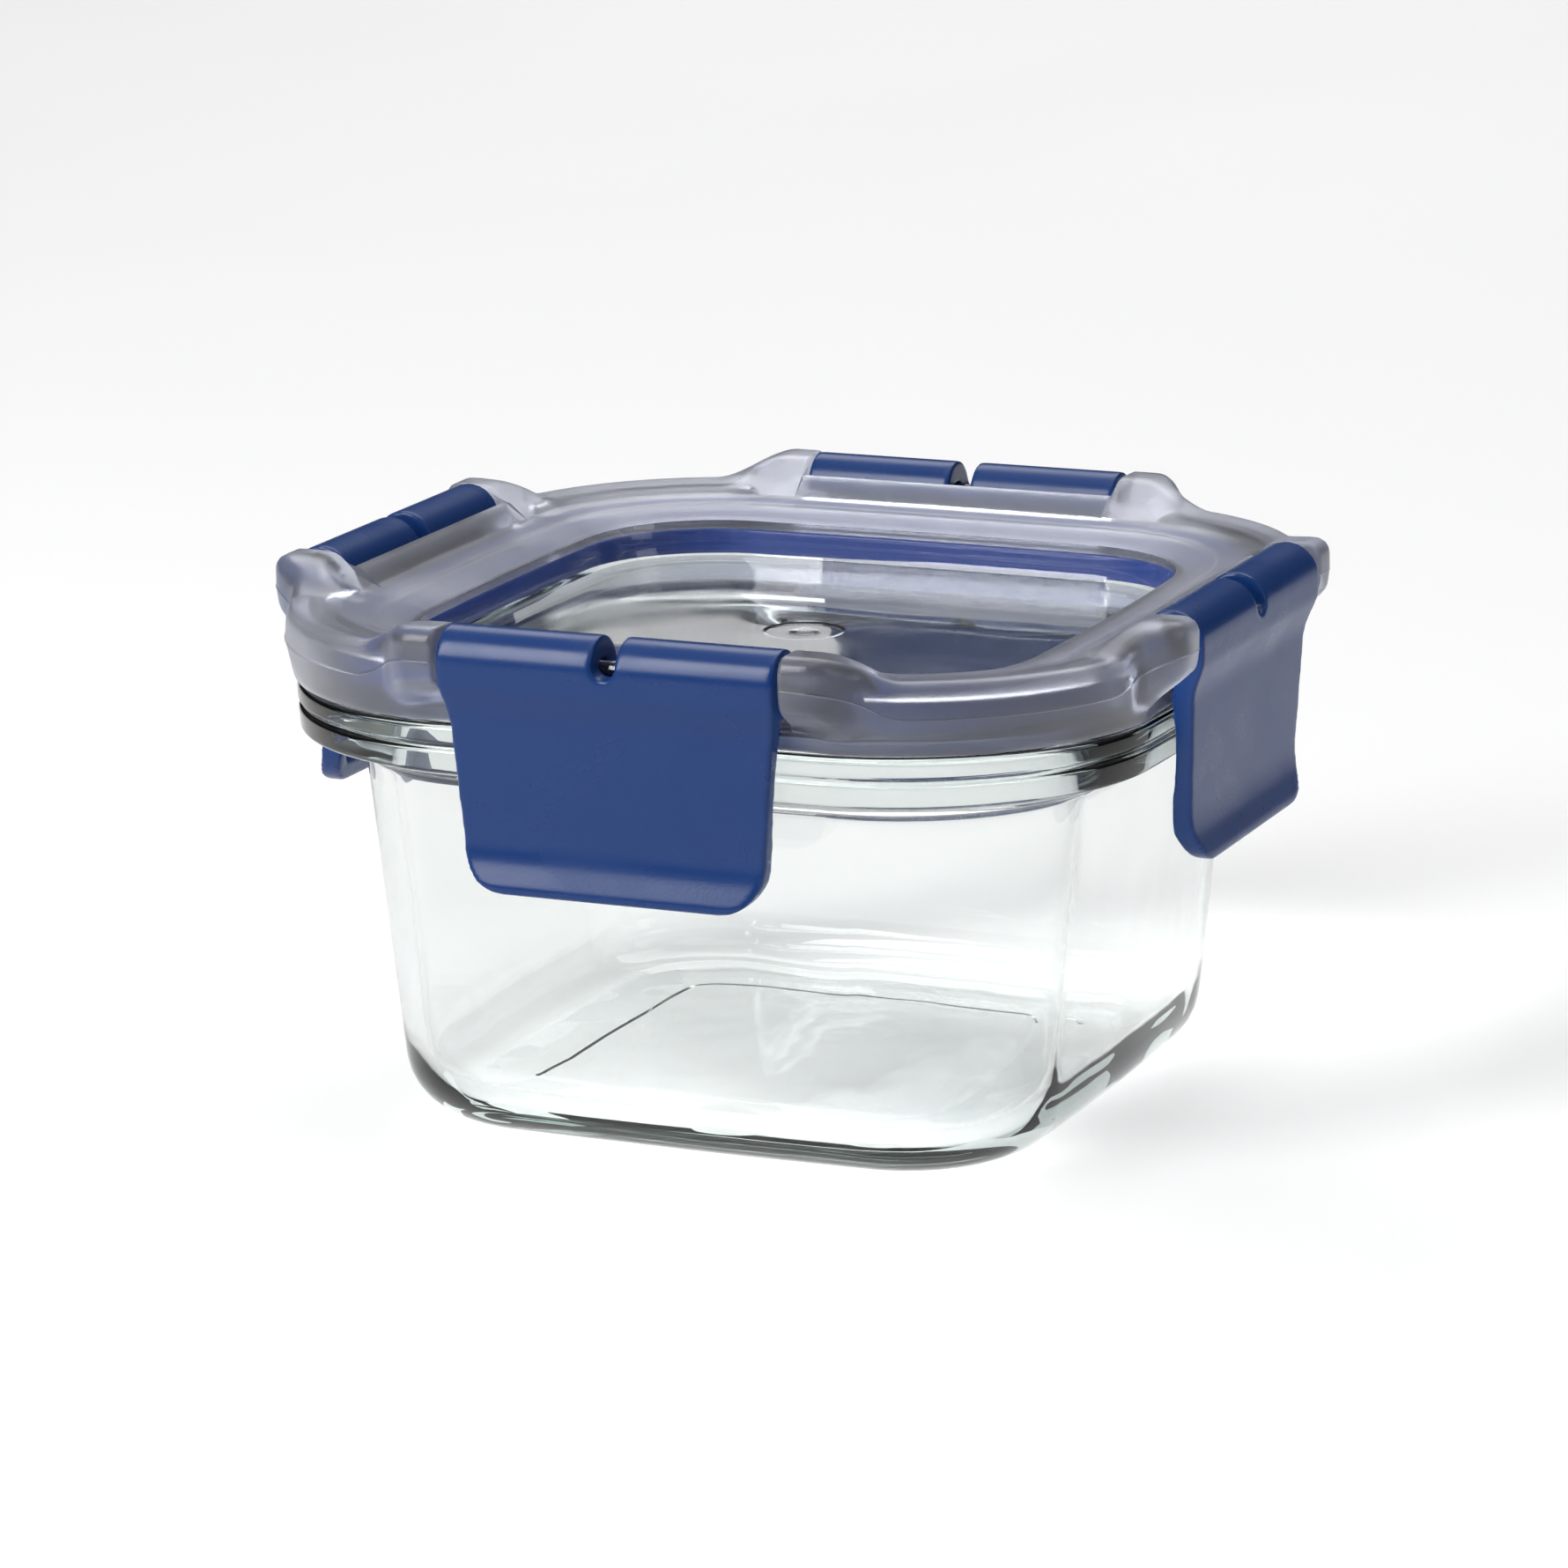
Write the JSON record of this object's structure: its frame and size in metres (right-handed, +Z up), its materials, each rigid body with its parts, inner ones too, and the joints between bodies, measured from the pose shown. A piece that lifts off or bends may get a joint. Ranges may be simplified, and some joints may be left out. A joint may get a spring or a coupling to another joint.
{
  "type": "glass storage container",
  "caption": "Square pressed-glass food container with a thick beaded rim, a clear sunk-window lid, a silicone gasket and hinged snap latches on its sides.",
  "frame": {"origin": "centre of the underside, on the plane it stands on", "axes": "+Z up through the lid; -Y towards the front latch; +X to the right; the object is the same on its four sides"},
  "size_m": [0.147, 0.147, 0.0832],
  "materials": {
    "bowl_glass": "clear pressed borosilicate glass",
    "clear_lid": "clear moulded plastic, finely frosted ring and polished window",
    "navy_silicone": "smooth navy silicone",
    "navy_plastic": "fine leather-grain moulded plastic"
  },
  "bodies": {
    "bowl": {"glass_bowl": "bowl_glass"},
    "lid": {"lid": "clear_lid", "gasket": "navy_silicone"},
    "latch_front": {"latch_front": "navy_plastic"},
    "latch_right": {"latch_right": "navy_plastic"},
    "latch_back": {"latch_back": "navy_plastic"},
    "latch_left": {"latch_left": "navy_plastic"}
  },
  "joints": [
    {"name": "lid_lift", "type": "slide", "parent": "bowl", "child": "lid", "axis": [0, 0, 1], "range_m": [0, 0.1]},
    {"name": "latch_front_hinge", "type": "hinge", "parent": "lid", "child": "latch_front", "pos_m": [0, -0.0685, 0.0782], "axis": [-1, 0, 0], "range_deg": [-3.5, 125]},
    {"name": "latch_right_hinge", "type": "hinge", "parent": "lid", "child": "latch_right", "pos_m": [0.0685, 0, 0.0782], "axis": [0, -1, 0], "range_deg": [-3.5, 125]},
    {"name": "latch_back_hinge", "type": "hinge", "parent": "lid", "child": "latch_back", "pos_m": [0, 0.0685, 0.0782], "axis": [1, 0, 0], "range_deg": [-3.5, 125]},
    {"name": "latch_left_hinge", "type": "hinge", "parent": "lid", "child": "latch_left", "pos_m": [-0.0685, 0, 0.0782], "axis": [0, 1, 0], "range_deg": [-3.5, 125]}
  ]
}
